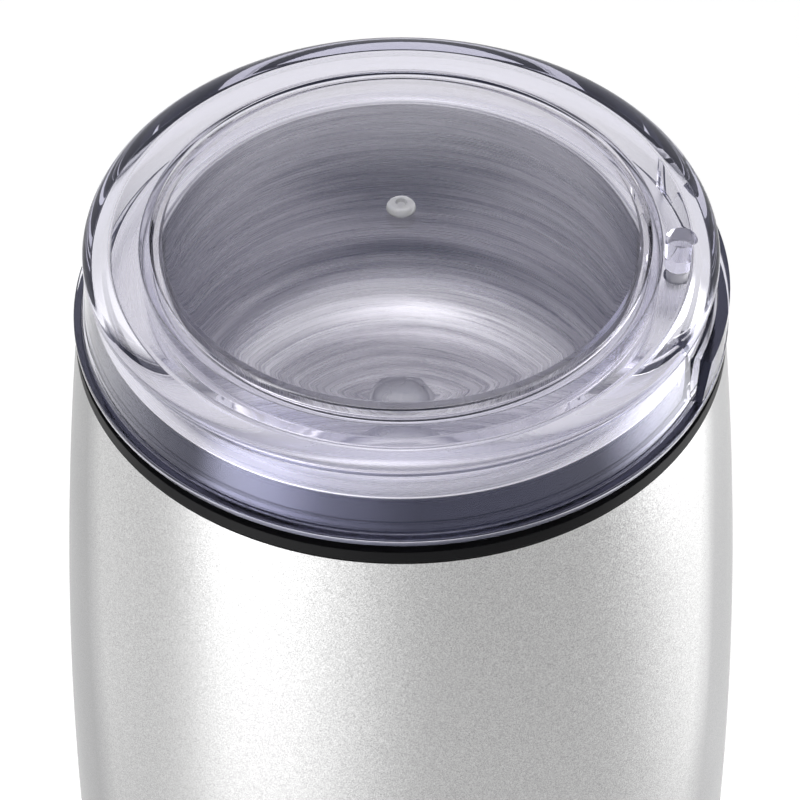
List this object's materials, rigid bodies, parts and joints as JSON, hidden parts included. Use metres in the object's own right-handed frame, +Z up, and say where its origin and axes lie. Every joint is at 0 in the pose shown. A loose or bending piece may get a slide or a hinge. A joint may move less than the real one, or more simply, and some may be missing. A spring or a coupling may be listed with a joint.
{
  "type": "electric spice grinder",
  "caption": "Free-standing blade grinder with a clear press-down lid, black collar, steel bowl with a spinning blade, barrel-shaped silver body, motor and lid switch inside.",
  "frame": {"origin": "middle of the footprint, on the surface the feet stand on", "axes": "+Z up along the blade's axis; +X to the side with the lid's lug and the lid switch; +Y to the rear, where the cord goes in; the front faces -Y"},
  "size_m": [0.1062, 0.1062, 0.19],
  "materials": {
    "clear_plastic": "clear moulded plastic, polished",
    "black_plastic": "fine satin moulding",
    "bowl_steel": "stainless, brushed round the axis",
    "grey_rubber": "matt",
    "silver_paint": "fine silver metallic paint over moulded plastic, semi-gloss",
    "black_rubber": "matt",
    "zinc_steel": "zinc plated",
    "blade_steel": "stainless, ground edges",
    "shaft_steel": "ground",
    "laminations": "stacked electrical steel",
    "copper_wire": "enamelled copper wire",
    "copper_bars": "turned copper",
    "bearing_bronze": "sintered bronze",
    "bracket_metal": "die cast",
    "brown_plastic": "thermoset",
    "carbon": "pressed carbon",
    "spring_steel": "bright",
    "brass_sheet": "stamped",
    "white_plastic": "moulded",
    "red_plastic": "moulded",
    "board_green": "solder resist",
    "yellow_plastic": "moulded case",
    "brown_lead": "wire insulation",
    "blue_lead": "wire insulation"
  },
  "bodies": {
    "housing": {"collar": "black_plastic", "bowl": "bowl_steel", "bowl_gasket": "grey_rubber", "body_shell": "silver_paint", "base_plate": "black_plastic", "feet": "black_rubber", "base_screws": "zinc_steel", "cord_bush": "black_rubber", "shaft_seal": "black_rubber", "upper_bearing": "bearing_bronze", "lower_bearing": "bearing_bronze", "upper_bracket": "bracket_metal", "lower_bracket": "bracket_metal", "stator_core": "laminations", "field_coils": "copper_wire", "motor_bolts": "zinc_steel", "motor_mounts": "black_rubber", "mount_screws": "zinc_steel", "brush_holders": "brown_plastic", "brushes": "carbon", "brush_springs": "spring_steel", "brush_caps": "brass_sheet", "rod_spring": "spring_steel", "switch_case": "red_plastic", "switch_screws": "zinc_steel", "switch_tabs": "brass_sheet", "circuit_board": "board_green", "capacitor": "yellow_plastic", "board_screws": "zinc_steel", "terminal_block": "white_plastic", "live_lead": "brown_lead", "switch_lead": "brown_lead", "neutral_lead": "blue_lead"},
    "rotor": {"blade": "blade_steel", "blade_spacer": "black_plastic", "blade_washer": "zinc_steel", "blade_nut": "zinc_steel", "motor_shaft": "shaft_steel", "armature_core": "laminations", "armature_winding": "copper_wire", "commutator": "copper_bars", "cooling_fan": "black_plastic"},
    "push_rod": {"push_rod": "white_plastic"},
    "lid": {"lid": "clear_plastic"},
    "switch_lever": {"switch_lever": "spring_steel"},
    "switch_plunger": {"switch_plunger": "white_plastic"}
  },
  "joints": [
    {"name": "rotor_spin", "type": "hinge", "parent": "housing", "child": "rotor", "pos_m": [0, 0, 0.09], "axis": [0, 0, 1], "continuous": true},
    {"name": "rod_press", "type": "slide", "parent": "housing", "child": "push_rod", "axis": [0, 0, 1], "range_m": [-0.0011, 0], "stiffness_N_per_m": 600, "springref_m": 0.005, "deforming": ["rod_spring"]},
    {"name": "lid_lift", "type": "slide", "parent": "push_rod", "child": "lid", "axis": [0, 0, 1], "range_m": [0, 0.06]},
    {"name": "lever_turn", "type": "hinge", "parent": "housing", "child": "switch_lever", "pos_m": [0.0404, -0.0085, 0.11743], "axis": [1, 0, 0], "range_deg": [-6.1, 0]},
    {"name": "plunger_press", "type": "slide", "parent": "housing", "child": "switch_plunger", "axis": [0, 0, 1], "range_m": [-0.0005, 0]}
  ],
  "couplings": [
    {"joint": "lever_turn", "follows": "rod_press", "rad_per_m": 96.5},
    {"joint": "plunger_press", "follows": "rod_press", "ratio": 0.4449}
  ]
}
